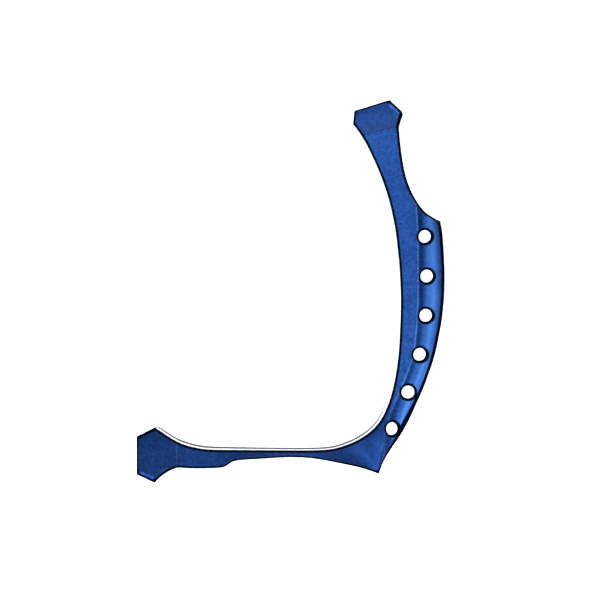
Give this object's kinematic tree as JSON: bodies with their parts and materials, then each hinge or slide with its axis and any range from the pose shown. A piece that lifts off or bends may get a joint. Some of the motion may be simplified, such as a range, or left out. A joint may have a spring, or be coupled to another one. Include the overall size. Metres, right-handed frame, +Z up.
{
  "type": "cheek retractor",
  "caption": "L-shaped formed-sheet cheek retractor with flared bent paddles, a perforated trough-shaped finger flange and a soft bead along its concave lip edge.",
  "frame": {"origin": "centre of the bounding box, at its foot", "axes": "+Z up from the surface it lies on, handle arm running towards +Y, lip arm running towards -X"},
  "size_m": [0.1152, 0.1434, 0.0122],
  "materials": {
    "anodised_blue": "fine bead-blasted, blue anodised, satin",
    "soft_bead": "pale translucent silicone, satin"
  },
  "bodies": {
    "root": {"retractor_body": "anodised_blue", "lip_guard": "soft_bead"}
  },
  "joints": []
}
